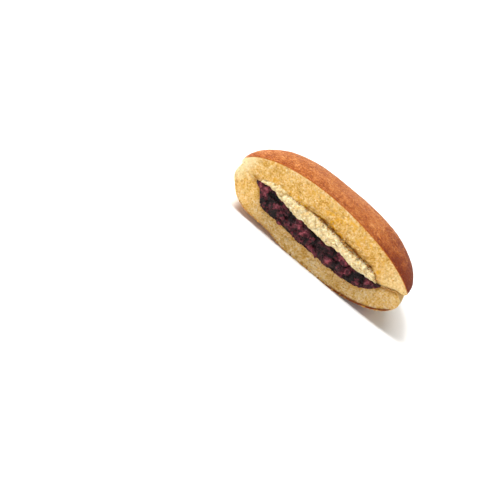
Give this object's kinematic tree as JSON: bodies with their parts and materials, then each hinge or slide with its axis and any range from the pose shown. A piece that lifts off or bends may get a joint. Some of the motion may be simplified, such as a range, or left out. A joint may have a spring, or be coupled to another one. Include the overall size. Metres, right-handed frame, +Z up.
{
  "type": "dorayaki",
  "caption": "Cut half of a dorayaki: two domed griddle cakes round sweet bean paste and whipped cream, lying on its lower cake.",
  "frame": {"origin": "centre of the base of the bounding box, on the surface the half lies on", "axes": "+X along the cut, from the end with the shallow crease to the end with the deep notch; +Z up through the layers; the cut face looks along -Y"},
  "size_m": [0.0912, 0.0446, 0.035],
  "materials": {
    "lower_cake": "matte, browned griddle crust underneath and fine open sponge at the rim and the cut",
    "bean_paste": "moist and glossy",
    "cream": "matte, slightly crumbly",
    "upper_cake": "satin browned crust, fine open sponge at the cut"
  },
  "bodies": {
    "root": {"lower_cake": "lower_cake", "bean_paste": "bean_paste", "cream": "cream", "upper_cake": "upper_cake"}
  },
  "joints": []
}
